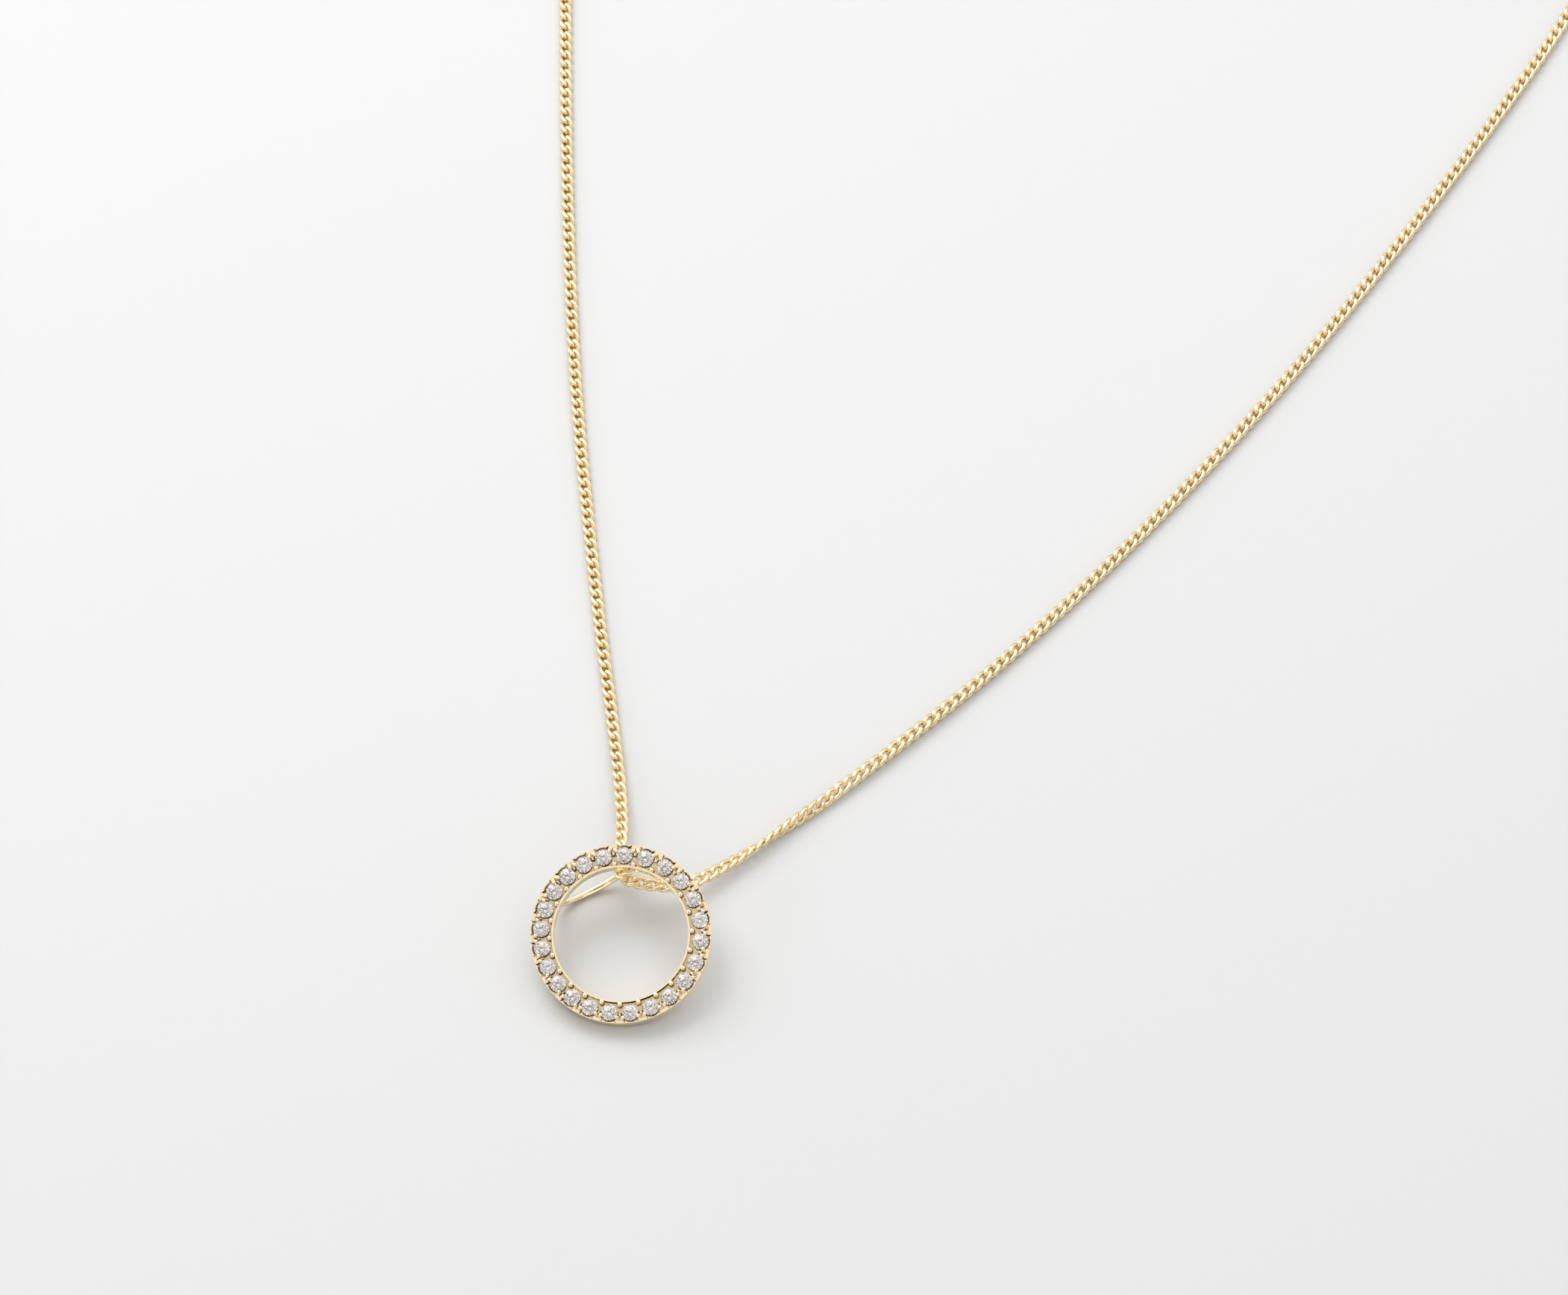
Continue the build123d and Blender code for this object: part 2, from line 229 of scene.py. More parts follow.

# %% [markdown]
# ## Gold
#
# The setting is a paler gold than the chain, and the chain's links differ a little from each
# other, as filing leaves them. One function makes all three metals from the two groups, since
# they differ in their values alone. Each paints shade in its hidden places in a deeper colour.
# The tint is an attribute that each link carries.


# %% A polished gold
def polished_gold(
    name, open_colour, painted_shade_colour, wave_size, roughness, wave_depth, painted_shade, tint=None
):
    """A bright metal with painted shade in its cuts, and an optional tint for each link."""
    metal = bpy.data.materials.new(name)
    metal.use_nodes = True
    tree = metal.node_tree
    shader = tree.nodes["Principled BSDF"]
    point = add_node(tree, "ShaderNodeTexCoord").outputs["Object"]
    waves = add_node(tree, "ShaderNodeGroup", node_tree=polish)
    feed(tree, waves.inputs["Point"], point)
    feed(tree, waves.inputs["Wave size"], wave_size)
    feed(tree, waves.inputs["Smoothest"], roughness[0])
    feed(tree, waves.inputs["Roughest"], roughness[1])
    cuts = add_node(tree, "ShaderNodeGroup", node_tree=painted_shade_mask)
    feed(tree, cuts.inputs["Reach"], painted_shade[0])
    feed(tree, cuts.inputs["Strength"], painted_shade[1])
    # Painted shade: the colour turns to the deep colour where a point is hidden.
    colour = add_node(tree, "ShaderNodeMix", data_type="RGBA")
    feed(tree, colour.inputs["Factor"], cuts.outputs["Open"])
    feed(tree, colour.inputs["A"], (*painted_shade_colour, 1))
    feed(tree, colour.inputs["B"], (*open_colour, 1))
    base = colour.outputs["Result"]
    if tint:
        shade = add_node(tree, "ShaderNodeAttribute", attribute_name=tint)
        tinted = add_node(
            tree, "ShaderNodeHueSaturation", {"Color": base, "Value": shade.outputs["Fac"]}
        )
        base = tinted.outputs["Color"]
    bump = add_node(
        tree, "ShaderNodeBump", {"Height": waves.outputs["Height"], "Distance": wave_depth}
    )
    feed(tree, shader.inputs["Base Color"], base)
    feed(tree, shader.inputs["Metallic"], 1.0)
    feed(tree, shader.inputs["Roughness"], waves.outputs["Roughness"])
    feed(tree, shader.inputs["Normal"], bump.outputs["Normal"])
    return metal


LINK_TINT = "link_shade"

# The deep colours are painted shade in each metal's cuts and between touching parts.
pale_gold = polished_gold(
    "pale_gold",
    open_colour=(1.0, 0.85, 0.57),
    painted_shade_colour=(0.50, 0.34, 0.16),
    wave_size=0.35,
    roughness=(0.06, 0.18),
    wave_depth=0.012 * MM,
    painted_shade=(0.5 * MM, 1.2),
)
yellow_gold = polished_gold(
    "yellow_gold",
    open_colour=(1.0, 0.82, 0.50),
    painted_shade_colour=(1.0, 0.74, 0.36),
    wave_size=0.2,
    roughness=(0.18, 0.3),
    wave_depth=0.002 * MM,
    painted_shade=(0.2 * MM, 1.0),
    tint=LINK_TINT,
)
clasp_gold = polished_gold(
    "clasp_gold",
    open_colour=(0.97, 0.79, 0.50),
    painted_shade_colour=(0.60, 0.42, 0.20),
    wave_size=0.5,
    roughness=(0.08, 0.18),
    wave_depth=0.004 * MM,
    painted_shade=(0.3 * MM, 1.0),
)
print("metals", [metal.name for metal in (pale_gold, yellow_gold, clasp_gold)])

# %% [markdown]
# ## Stones
#
# A brilliant is cut so that light which enters its top turns back inside and leaves by the
# top again. A mirror finish would sparkle too, but it would show no depth. The model's stones
# have their real facets, so plain clear glass with a high refractive index does the rest, and
# every facet shows another part of the room. The photograph's stones drift between a cool and
# a warm white, which a slow noise gives.

# %% Clear stone
COOL_WHITE = (0.88, 0.80, 0.82, 1)
WARM_WHITE = (1.0, 0.90, 0.78, 1)
DRIFTS_PER_METRE = 900.0
STONE_INDEX = 2.35


def clear_stone(name):
    """Cut stone, whose white drifts a little from stone to stone."""
    stone = bpy.data.materials.new(name)
    stone.use_nodes = True
    tree = stone.node_tree
    shader = tree.nodes["Principled BSDF"]
    point = add_node(tree, "ShaderNodeTexCoord").outputs["Object"]
    drift = add_node(
        tree, "ShaderNodeTexNoise", {"Vector": point, "Scale": DRIFTS_PER_METRE, "Detail": 1.0}
    )
    tone = add_node(tree, "ShaderNodeMix", data_type="RGBA")
    feed(tree, tone.inputs["Factor"], drift.outputs["Fac"])
    feed(tree, tone.inputs["A"], COOL_WHITE)
    feed(tree, tone.inputs["B"], WARM_WHITE)
    feed(tree, shader.inputs["Base Color"], tone.outputs["Result"])
    feed(tree, shader.inputs["Roughness"], 0.0)
    feed(tree, shader.inputs["IOR"], STONE_INDEX)
    feed(tree, shader.inputs["Transmission Weight"], 1.0)
    return stone


brilliant_glass = clear_stone("brilliant_glass")
print("stones' finish", brilliant_glass.name)

# %% [markdown]
# ## Dress the model
#
# The setting and its bail are one piece of pale gold. The clasp and its rings are bought
# parts with a finish of their own. Every other piece is a stone, so a short table names the
# metal pieces and the rest gets the glass. The chain's tube is replaced further down.

# %% Give each piece its finish
finishes = {
    "pendant_setting": pale_gold,
    "clasp": clasp_gold,
    "clasp_ring": clasp_gold,
    "end_ring": clasp_gold,
}
for name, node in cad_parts.items():
    node.data.materials.clear()
    node.data.materials.append(finishes.get(name, brilliant_glass))
print("dressed", len(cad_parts), "pieces of the model")

# %% [markdown]
# ## Route of the chain
#
# The chain's middle line is a smooth curve from the clasp, through the bail and round to the
# clasp again. The photograph shows the two strands by the pendant, and the rest is the plain
# way round. A line through many points would wobble, so a few listed points bend it softly.
# The flat links lie lower than the round tube that stands for them, so the points are lower
# too. The chain also rolls about its own line where the bail turns it over, which the tilt of
# each point gives.

# %% The route, point by point
# Each point: x, y and height in metres, then the chain's roll in degrees.
CHAIN_ROUTE = [
    (-0.00604, 0.09735, 0.00050, -20),
    (-0.0115, 0.09713, 0.00040, 0),
    (-0.0213, 0.09153, 0.00028, 0),
    (-0.0309, 0.07793, 0.00028, 0),
    (-0.0379, 0.05803, 0.00028, 0),
    (-0.0417, 0.03393, 0.00028, 0),
    (-0.0429, 0.00723, 0.00028, 0),
    (-0.0429, -0.01967, 0.00028, 0),
    (-0.0421, -0.04657, 0.00028, 0),
    (-0.0402, -0.06627, 0.00028, 0),
    (-0.0386, -0.07877, 0.00028, 0),
    (-0.0380, -0.0855, 0.00085, 25),
    (-0.0386, -0.0898, 0.0022, 10),
    (-0.0357, -0.0901, 0.00165, 0),
    (-0.0336, -0.0898, 0.0011, 35),
    (-0.0298, -0.0871, 0.00055, -42),
    (-0.0228, -0.0816, 0.00046, -190),
    (-0.0099, -0.06991, 0.00033, -172),
    (0.0051, -0.05301, 0.00033, -170),
    (0.0184, -0.03481, 0.00033, -170),
    (0.0306, -0.01601, 0.00033, -170),
    (0.0385, 0.00269, 0.00033, -170),
    (0.0432, 0.02369, 0.00033, -170),
    (0.0438, 0.04519, 0.00033, -170),
    (0.0399, 0.06569, 0.00033, -170),
    (0.0319, 0.08199, 0.00033, -170),
    (0.0212, 0.09309, 0.00033, -170),
    (0.0097, 0.0973, 0.00035, -190),
    (0.00400, 0.09735, 0.00100, -280),
]
POINTS_PER_RUN = 64

route_curve = bpy.data.curves.new("chain_route", "CURVE")
route_curve.dimensions = "3D"
route_curve.twist_mode = "Z_UP"
route_curve.resolution_u = POINTS_PER_RUN
line = route_curve.splines.new("NURBS")
line.points.add(len(CHAIN_ROUTE) - 1)
for spot, (x, y, height_up, roll) in zip(line.points, CHAIN_ROUTE):
    spot.co = (x, y, height_up, 1)
    spot.tilt = radians(roll)
line.order_u = 3
line.use_endpoint_u = True
route = bpy.data.objects.new("chain_route", route_curve)
bpy.context.scene.collection.objects.link(route)
print("route points", len(CHAIN_ROUTE), "length in mm", round(line.calc_length() / MM, 1))

# %% [markdown]
# ## One curb link
#
# A curb link starts as an oval ring of round wire. Its two ends are turned against each
# other, so that it can hold the next link and still lie flat, and then the whole chain is
# filed flat on both sides. It could be modelled once by hand, but its wire, pitch and twist
# hang together, so a node group with those as its inputs lets each be tried out. The link
# has few faces, since it is used hundreds of times.

# %% Sizes of a link
LINK_PITCH = 0.804 * MM
LINK_WIRE = 0.295 * MM
LINK_WIDTH = 0.95 * MM
FILED_HEIGHT = 0.26 * MM
LINK_PLAY = 0.06 * MM
LINK_TWIST = radians(-65)
LINK_SQUARENESS = 3.0
LINK_SIDES_ALONG = 16
LINK_SIDES_ROUND = 6

link_group, link_in, link_out = new_group(
    "GeometryNodeTree",
    "curb_link",
    [
        ("Pitch", FLOAT, LINK_PITCH),
        ("Wire", FLOAT, LINK_WIRE),
        ("Width", FLOAT, LINK_WIDTH),
        ("Play", FLOAT, LINK_PLAY),
        ("Twist", FLOAT, LINK_TWIST),
        ("Squareness", FLOAT, LINK_SQUARENESS),
        ("Filed height", FLOAT, FILED_HEIGHT),
        ("Sides along", WHOLE, LINK_SIDES_ALONG),
        ("Sides round", WHOLE, LINK_SIDES_ROUND),
    ],
    [("Mesh", GEOMETRY)],
)
print("a link is", round((LINK_PITCH + 2 * LINK_WIRE + LINK_PLAY) / MM, 2), "mm long")

# %% [markdown]
# ### The bent wire
#
# A circle of points is stretched to an oval whose corners stand out a little, because a real
# link is wound on a flat pin. Each point is then turned about the link's long line, further
# the further it lies from the middle, which is the twist that the pliers give.


# %% Bend and twist the oval
def squared(tree, value, squareness):
    """Moves a sine or cosine out towards the side of a square."""
    power = sum_of(tree, "DIVIDE", 2.0, squareness)
    size = sum_of(tree, "POWER", sum_of(tree, "ABSOLUTE", value), power)
    return sum_of(tree, "MULTIPLY", size, sum_of(tree, "SIGN", value))


def here(tree):
    """The place of each point, as its three parts."""
    return parts_of(tree, add_node(tree, "GeometryNodeInputPosition").outputs[0])


around = add_node(
    link_group,
    "GeometryNodeCurvePrimitiveCircle",
    {"Resolution": link_in["Sides along"], "Radius": 1.0},
)
on_circle = here(link_group)
along = squared(link_group, on_circle["X"], link_in["Squareness"])
across = squared(link_group, on_circle["Y"], link_in["Squareness"])
wire_and_pitch = sum_of(link_group, "ADD", link_in["Pitch"], link_in["Wire"])
reach = sum_of(link_group, "ADD", wire_and_pitch, link_in["Play"])
half_length = sum_of(link_group, "MULTIPLY", reach, 0.5)
between_wires = sum_of(link_group, "SUBTRACT", link_in["Width"], link_in["Wire"])
half_width = sum_of(link_group, "MULTIPLY", between_wires, 0.5)
flat_point = vector_of(
    link_group,
    X=sum_of(link_group, "MULTIPLY", along, half_length),
    Y=sum_of(link_group, "MULTIPLY", across, half_width),
)
twisted = add_node(
    link_group,
    "ShaderNodeVectorRotate",
    {"Vector": flat_point, "Angle": sum_of(link_group, "MULTIPLY", along, link_in["Twist"])},
    rotation_type="X_AXIS",
)
oval = add_node(
    link_group,
    "GeometryNodeSetPosition",
    {"Geometry": around.outputs["Curve"], "Position": twisted.outputs[0]},
)
print("link group", len(link_group.nodes), "nodes so far")

# %% [markdown]
# ### Sweep and file
#
# The round wire is swept along the bent line, with one of its corners upwards. The file then
# takes off what stands too high on both sides. A Boolean cut would do that too, but pressing
# the points down to the filed plane keeps the few faces there are, and leaves the same flat
# bright ovals. Only the faces that lie in that plane stay flat, and the others are shaded
# smooth.

# %% Sweep the wire and file it
LEVEL_FACE = 0.999

level = add_node(
    link_group, "GeometryNodeSetCurveNormal", {"Curve": oval.outputs["Geometry"]}, mode="Z_UP"
)
section = add_node(
    link_group,
    "GeometryNodeCurvePrimitiveCircle",
    {
        "Resolution": link_in["Sides round"],
        "Radius": sum_of(link_group, "MULTIPLY", link_in["Wire"], 0.5),
    },
)
half_side = vector_of(link_group, Z=sum_of(link_group, "DIVIDE", pi, link_in["Sides round"]))
corner_up = add_node(
    link_group,
    "GeometryNodeTransform",
    {"Geometry": section.outputs["Curve"], "Rotation": half_side},
)
wire = add_node(
    link_group,
    "GeometryNodeCurveToMesh",
    {"Curve": level.outputs["Curve"], "Profile Curve": corner_up.outputs["Geometry"]},
)
on_wire = here(link_group)
low = sum_of(link_group, "MULTIPLY", link_in["Filed height"], -1.0)
above_low = sum_of(link_group, "MAXIMUM", on_wire["Z"], low)
filed_z = sum_of(link_group, "MINIMUM", above_low, link_in["Filed height"])
filed_point = vector_of(link_group, X=on_wire["X"], Y=on_wire["Y"], Z=filed_z)
filed = add_node(
    link_group,
    "GeometryNodeSetPosition",
    {"Geometry": wire.outputs["Mesh"], "Position": filed_point},
)
facing = parts_of(link_group, add_node(link_group, "GeometryNodeInputNormal").outputs[0])
rounded = add_node(
    link_group,
    "FunctionNodeCompare",
    {0: sum_of(link_group, "ABSOLUTE", facing["Z"]), 1: LEVEL_FACE},
    operation="LESS_THAN",
)
smooth = add_node(
    link_group,
    "GeometryNodeSetShadeSmooth",
    {"Geometry": filed.outputs["Geometry"], "Shade Smooth": rounded.outputs[0]},
)
feed(link_group, link_out["Mesh"], smooth.outputs["Geometry"])
print("link group", len(link_group.nodes), "nodes")

# %% [markdown]
# ## Hundreds of links
#
# The links could be placed by a loop, but a node tree that walks the curve keeps them evenly
# spaced and makes the count follow the length. Each link sits at a point of the resampled
# curve, its long side along the curve and its width along the curve's normal.

# %% Walk the route
SEED = 11
LOOSE_ROLL = radians(4)

chain_tree, chain_in, chain_out = new_group(
    "GeometryNodeTree",
    "curb_chain",
    [
        ("Geometry", GEOMETRY, None),
        ("Route", "NodeSocketObject", None),
        ("Pitch", FLOAT, LINK_PITCH),
        ("Wire", FLOAT, LINK_WIRE),
        ("Width", FLOAT, LINK_WIDTH),
        ("Filed height", FLOAT, FILED_HEIGHT),
        ("Loose roll", FLOAT, LOOSE_ROLL),
        ("Seed", WHOLE, SEED),
        ("Metal", "NodeSocketMaterial", None),
    ],
    [("Geometry", GEOMETRY)],
)
path = add_node(chain_tree, "GeometryNodeObjectInfo", {"Object": chain_in["Route"]})
length = add_node(chain_tree, "GeometryNodeCurveLength", {"Curve": path.outputs["Geometry"]})
pitches = sum_of(chain_tree, "DIVIDE", length.outputs[0], chain_in["Pitch"])
link_count = sum_of(chain_tree, "ADD", sum_of(chain_tree, "ROUND", pitches), 1.0)
spaced = add_node(
    chain_tree,
    "GeometryNodeResampleCurve",
    {"Curve": path.outputs["Geometry"], "Count": link_count},
    mode="COUNT",
)
one_link = add_node(chain_tree, "GeometryNodeGroup", node_tree=link_group)
for title in ("Pitch", "Wire", "Width", "Filed height"):
    feed(chain_tree, one_link.inputs[title], chain_in[title])
print("chain tree", len(chain_tree.nodes), "nodes so far")

# %% [markdown]
# ### Turn and tint each link
#
# No link of a worn chain lies quite as its neighbours do, and none has quite their colour.
# A random roll of a few degrees and a random shade, both from a fixed seed, keep the strand
# from looking printed. The shade is kept on each link for the gold to read.

# %% Turn and tint the links
DULLEST_LINK = 0.93
BRIGHTEST_LINK = 1.03

turned = add_node(
    chain_tree,
    "FunctionNodeAxesToRotation",
    {
        0: add_node(chain_tree, "GeometryNodeInputTangent").outputs[0],
        1: add_node(chain_tree, "GeometryNodeInputNormal").outputs[0],
    },
    primary_axis="X",
    secondary_axis="Y",
)
other_way = sum_of(chain_tree, "MULTIPLY", chain_in["Loose roll"], -1.0)
chance = add_node(
    chain_tree,
    "FunctionNodeRandomValue",
    {2: other_way, 3: chain_in["Loose roll"], "Seed": chain_in["Seed"]},
    data_type="FLOAT",
)
loose = add_node(
    chain_tree,
    "FunctionNodeAxisAngleToRotation",
    {"Axis": (1, 0, 0), "Angle": chance.outputs[1]},
)
rolled = add_node(
    chain_tree,
    "FunctionNodeRotateRotation",
    {"Rotation": turned.outputs[0], "Rotate By": loose.outputs[0]},
    rotation_space="LOCAL",
)
links = add_node(
    chain_tree,
    "GeometryNodeInstanceOnPoints",
    {
        "Points": spaced.outputs["Curve"],
        "Instance": one_link.outputs["Mesh"],
        "Rotation": rolled.outputs[0],
    },
)
next_seed = sum_of(chain_tree, "ADD", chain_in["Seed"], 1.0)
shade = add_node(
    chain_tree,
    "FunctionNodeRandomValue",
    {2: DULLEST_LINK, 3: BRIGHTEST_LINK, "Seed": next_seed},
    data_type="FLOAT",
)
shaded = add_node(
    chain_tree,
    "GeometryNodeStoreNamedAttribute",
    {"Geometry": links.outputs["Instances"], "Name": LINK_TINT, "Value": shade.outputs[1]},
    data_type="FLOAT",
    domain="INSTANCE",
)
real = add_node(
    chain_tree, "GeometryNodeRealizeInstances", {"Geometry": shaded.outputs["Geometry"]}
)
coated = add_node(
    chain_tree,
    "GeometryNodeSetMaterial",
    {"Geometry": real.outputs["Geometry"], "Material": chain_in["Metal"]},
)
feed(chain_tree, chain_out["Geometry"], coated.outputs["Geometry"])
print("chain tree", len(chain_tree.nodes), "nodes")

# %% [markdown]
# ### From nodes to a plain mesh
#
# A modifier's input is set by the socket's identifier, before the object is first looked at.
# The result is then copied into a plain mesh, because what leaves this scene is meshes, and
# the helper object and the route go. The plain links take the place of the chain's tube.


# %% Make the links
def set_input(modifier, title, value):
    """Sets a modifier's input by the name that its tree gives it."""
    for item in modifier.node_group.interface.items_tree:
        if item.item_type == "SOCKET" and item.in_out == "INPUT" and item.name == title:
            modifier[item.identifier] = value


def frozen(source, name):
    """A plain mesh object in place of one with modifiers."""
    view = bpy.context.evaluated_depsgraph_get()
    mesh = bpy.data.meshes.new_from_object(source.evaluated_get(view), depsgraph=view)
    mesh.name = name
    piece = bpy.data.objects.new(name, mesh)
    bpy.context.scene.collection.objects.link(piece)
    bpy.data.objects.remove(source)
    return piece


carrier = bpy.data.objects.new("links_to_be", bpy.data.meshes.new("links_to_be"))
bpy.context.scene.collection.objects.link(carrier)
maker = carrier.modifiers.new("curb_chain", "NODES")
maker.node_group = chain_tree
set_input(maker, "Route", route)
set_input(maker, "Pitch", LINK_PITCH)
set_input(maker, "Wire", LINK_WIRE)
set_input(maker, "Width", LINK_WIDTH)
set_input(maker, "Filed height", FILED_HEIGHT)
set_input(maker, "Loose roll", LOOSE_ROLL)
set_input(maker, "Seed", SEED)
set_input(maker, "Metal", yellow_gold)
chain_links = frozen(carrier, "chain_links")
bpy.data.objects.remove(route)
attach(chain_links, "root")
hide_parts("chain")
faces_per_link = LINK_SIDES_ALONG * LINK_SIDES_ROUND
print("links", len(chain_links.data.polygons) // faces_per_link)

# %% [markdown]
# ## End links
#
# A curb link can't close round the thicker ring of a clasp, so each end of the chain has one
# plain oval link of its own. It hangs through the last curb link and through the ring, each
# of which stands across it. A bent curve with a bevel would do, but two loops of points give
# the oval and its round wire directly, with as few faces as the links beside it.

# %% An oval link
END_WIRE = 0.2 * MM
END_HALF_LENGTH = 0.67 * MM
END_HALF_WIDTH = 0.43 * MM
END_SIDES_ALONG = 16
END_SIDES_ROUND = 6


def oval_link(name, middle, long_way, wide_way):
    """A plain oval of round wire that lies in the plane of two directions."""
    through = long_way.cross(wide_way)
    points = []
    for step in range(END_SIDES_ALONG):
        turn = tau * step / END_SIDES_ALONG
        along_oval = long_way * (END_HALF_LENGTH * cos(turn))
        across_oval = wide_way * (END_HALF_WIDTH * sin(turn))
        out_long = long_way * (END_HALF_WIDTH * cos(turn))
        out_wide = wide_way * (END_HALF_LENGTH * sin(turn))
        outwards = (out_long + out_wide).normalized()
        for corner in range(END_SIDES_ROUND):
            swing = tau * corner / END_SIDES_ROUND
            off_line = (outwards * cos(swing) + through * sin(swing)) * (END_WIRE / 2)
            points.append(middle + along_oval + across_oval + off_line)
    faces = []
    for step in range(END_SIDES_ALONG):
        this_loop = step * END_SIDES_ROUND
        next_loop = (step + 1) % END_SIDES_ALONG * END_SIDES_ROUND
        for corner in range(END_SIDES_ROUND):
            up = (corner + 1) % END_SIDES_ROUND
            faces.append((this_loop + corner, next_loop + corner, next_loop + up, this_loop + up))
    mesh = bpy.data.meshes.new(name)
    mesh.from_pydata(points, [], faces)
    mesh.shade_smooth()
    mesh.materials.append(clasp_gold)
    link = bpy.data.objects.new(name, mesh)
    bpy.context.scene.collection.objects.link(link)
    return link


print("an end link has", END_SIDES_ALONG * END_SIDES_ROUND, "faces")

# %% [markdown]
# ### Hang them at the clasp's rings
#
# The places are worked out from the boxes of the model's rings and not written down, so the
# links follow if the clasp is moved. The ring on the left lies nearly flat, so its link
# stands upright on the paper. The ring on the right stands up and leans, so its link is
# turned square to it.

# %% Two end links
RING_WIRE = 0.36 * MM
HOOK_GAP = 0.15 * MM
UPRIGHT_HEIGHT = 0.535 * MM
RING_LEAN = radians(30)

past_edge = END_HALF_LENGTH - END_WIRE / 2 - RING_WIRE - HOOK_GAP
to_the_right = Vector((1, 0, 0))
upright = Vector((0, 0, 1))
leaning = Vector((0, cos(RING_LEAN), sin(RING_LEAN)))

ring_low, ring_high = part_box("clasp_ring")
ring_middle_y = (ring_low[1] + ring_high[1]) / 2
first_middle = Vector((ring_low[0] - past_edge, ring_middle_y, UPRIGHT_HEIGHT))
first_link = oval_link("clasp_end_link", first_middle, to_the_right, upright)

hoop_low, hoop_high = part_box("end_ring")
hoop_middle_z = (hoop_low[2] + hoop_high[2]) / 2
last_middle = Vector((hoop_high[0] + past_edge, ring_middle_y, hoop_middle_z))
last_link = oval_link("ring_end_link", last_middle, to_the_right, leaning)

for link, middle in ((first_link, first_middle), (last_link, last_middle)):
    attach(link, "root")
    print(link.name, "middle at", [round(value / MM, 2) for value in middle], "mm")

# %% [markdown]
# ## Paper
#
# The necklace lies on white paper with a faint tooth. A plain even plane would look like a
# screen, so the paper has a soft bump. It is far wider than the view, so that its edge never
# shows.

# %% Paper
PAPER_SIZE = 6.0
PAPER_WHITE = (0.68, 0.68, 0.68, 1)
TOOTH_PER_METRE = 900.0
TOOTH_DEPTH = 0.05 * MM
TOOTH_STRENGTH = 0.4
PAPER_ROUGHNESS = 0.8

half = PAPER_SIZE / 2
corners = [(-half, -half, 0), (half, -half, 0), (half, half, 0), (-half, half, 0)]
paper_mesh = bpy.data.meshes.new("paper")
paper_mesh.from_pydata(corners, [], [(0, 1, 2, 3)])
paper = bpy.data.objects.new("paper", paper_mesh)
bpy.context.scene.collection.objects.link(paper)

paper_finish = bpy.data.materials.new("white_paper")
paper_finish.use_nodes = True
tree = paper_finish.node_tree
paper_shader = tree.nodes["Principled BSDF"]
point = add_node(tree, "ShaderNodeTexCoord").outputs["Object"]
tooth = add_node(
    tree,
    "ShaderNodeTexNoise",
    {"Vector": point, "Scale": TOOTH_PER_METRE, "Detail": 4.0, "Roughness": 0.6},
)
bump = add_node(
    tree,
    "ShaderNodeBump",
    {"Height": tooth.outputs["Fac"], "Distance": TOOTH_DEPTH, "Strength": TOOTH_STRENGTH},
)
feed(tree, paper_shader.inputs["Base Color"], PAPER_WHITE)
feed(tree, paper_shader.inputs["Roughness"], PAPER_ROUGHNESS)
feed(tree, paper_shader.inputs["Normal"], bump.outputs["Normal"])
paper_mesh.materials.append(paper_finish)
print("paper", PAPER_SIZE, "m wide")

# %% [markdown]
# ## Window and panel
#
# The photograph's light is soft and comes from behind. One broad window stands behind and to
# the left, so the paper is brightest at its top left and darkens towards the bottom right,
# and a wide panel hangs behind the pendant and softens the shadows. A sun lamp would draw hard
# shadows, so both are square area lights, and the camera doesn't see them.

# %% Window and panel
WINDOW_WAY = Vector((-0.45, 0.55, 0.70)).normalized()
WINDOW_DISTANCE = 0.42
WINDOW_SIZE = 0.28
WINDOW_POWER = 0.70
PANEL_PLACE = Vector((-0.06, 0.22, 0.34))
PANEL_SIZE = 0.44
PANEL_POWER = 0.46


def soft_light(name, place, size, power, aim):
    """A square area light that looks at a point and isn't seen by the camera."""
    light = bpy.data.lights.new(name, "AREA")
    light.shape = "SQUARE"
    light.size = size
    light.energy = power
    lamp = bpy.data.objects.new(name, light)
    lamp.location = place
    lamp.rotation_euler = (aim - place).to_track_quat("-Z", "Y").to_euler()
    lamp.visible_camera = False
    bpy.context.scene.collection.objects.link(lamp)
    return lamp


window_place = VIEW_CENTRE + WINDOW_WAY * WINDOW_DISTANCE
under_panel = PANEL_PLACE - Vector((0, 0, 1))
window = soft_light("window", window_place, WINDOW_SIZE, WINDOW_POWER, VIEW_CENTRE)
panel = soft_light("panel", PANEL_PLACE, PANEL_SIZE, PANEL_POWER, under_panel)
print("lights", window.name, panel.name)

# %% [markdown]
# ## Room
#
# Polished gold is as bright as what it mirrors, so the room isn't even. A picture of a real
# room could be wrapped round the scene, but a few nodes are enough and each can be tuned. The
# walls grow brighter towards the window, and their patches give each link and claw something
# light and something dark to show. The ceiling is even, because the flat circle mirrors it,
# and a small dark card in front gives the stones their contrast.

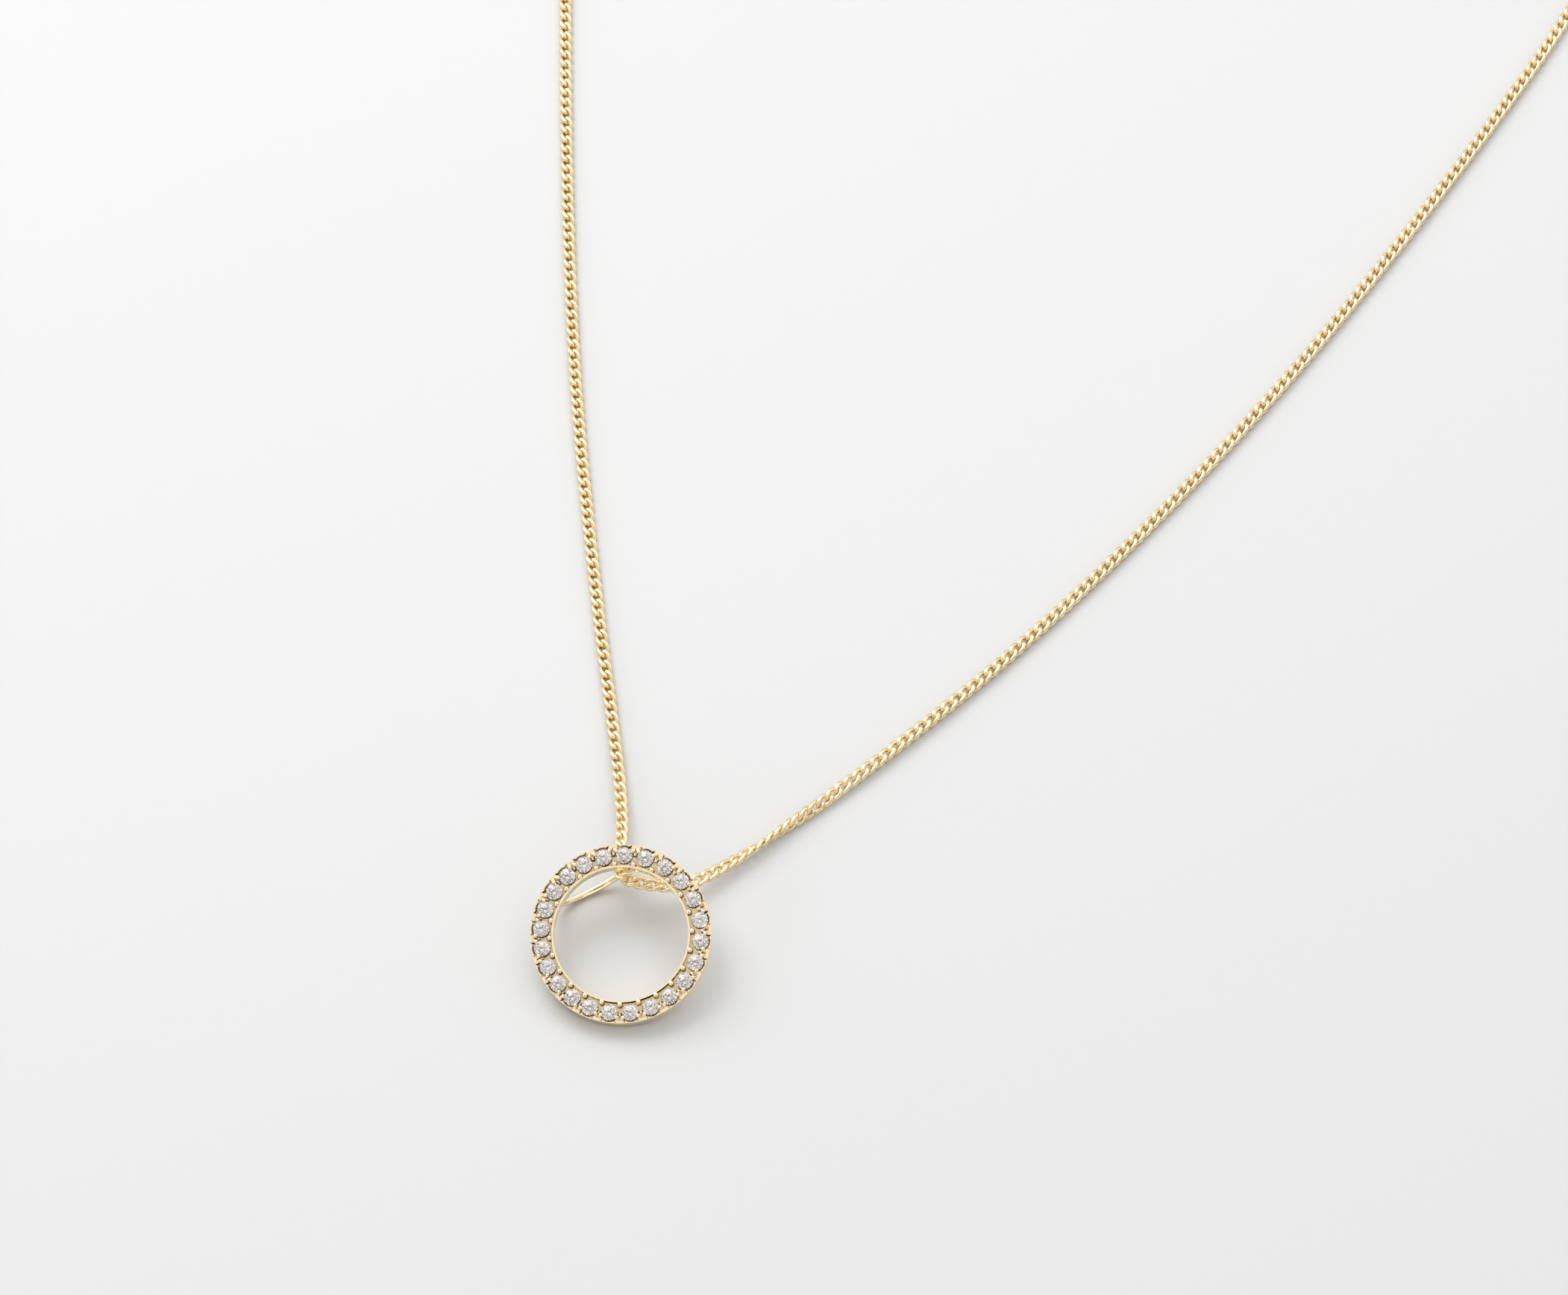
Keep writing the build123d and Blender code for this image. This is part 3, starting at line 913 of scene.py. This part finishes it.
# %% Room
DARK_WALL = 0.6
BRIGHT_WALL = 1.1
PATCHES = 3.5
PATCH_RANGE = 1.6
PATCH_LEAST = 0.26
OVERHEAD = Vector((0, 0, 1))
CEILING = 0.95
CARD_WAY = Vector((0, -0.5, 0.866))
CARD = 0.05

world = bpy.data.worlds.new("pale_room")
bpy.context.scene.world = world
world.use_nodes = True
room = world.node_tree
way = add_node(room, "ShaderNodeTexCoord").outputs["Generated"]


def towards(direction, dark_edge, bright_edge, dark, bright):
    """Grows from dark to bright between two cosines of the angle to a direction."""
    match = add_node(
        room, "ShaderNodeVectorMath", {0: way, 1: direction.normalized()}, operation="DOT_PRODUCT"
    )
    return add_node(
        room,
        "ShaderNodeMapRange",
        {
            "Value": match.outputs["Value"],
            "From Min": dark_edge,
            "From Max": bright_edge,
            "To Min": dark,
            "To Max": bright,
        },
        interpolation_type="SMOOTHSTEP",
    ).outputs[0]


def blend(factor, first, second):
    """Goes from the first brightness to the second."""
    mix = add_node(room, "ShaderNodeMix", {"Factor": factor, "A": first, "B": second})
    return mix.outputs["Result"]


walls = towards(
    WINDOW_WAY, dark_edge=-0.3, bright_edge=0.85, dark=DARK_WALL, bright=BRIGHT_WALL
)
cells = add_node(room, "ShaderNodeTexVoronoi", {"Vector": way, "Scale": PATCHES})
patch = add_node(room, "ShaderNodeSeparateColor", {"Color": cells.outputs["Color"]}).outputs[0]
patchiness = sum_of(room, "MULTIPLY_ADD", patch, PATCH_RANGE, PATCH_LEAST)
patchy_walls = sum_of(room, "MULTIPLY", walls, patchiness)
overhead = towards(OVERHEAD, dark_edge=0.86, bright_edge=0.95, dark=0.0, bright=1.0)
with_ceiling = blend(overhead, patchy_walls, CEILING)
at_card = towards(CARD_WAY, dark_edge=0.955, bright_edge=0.975, dark=0.0, bright=1.0)
feed(room, room.nodes["Background"].inputs["Color"], (1.0, 1.0, 1.0, 1))
feed(room, room.nodes["Background"].inputs["Strength"], blend(at_card, with_ceiling, CARD))
bpy.context.scene.view_settings.view_transform = "Standard"
print("room", len(room.nodes), "nodes")
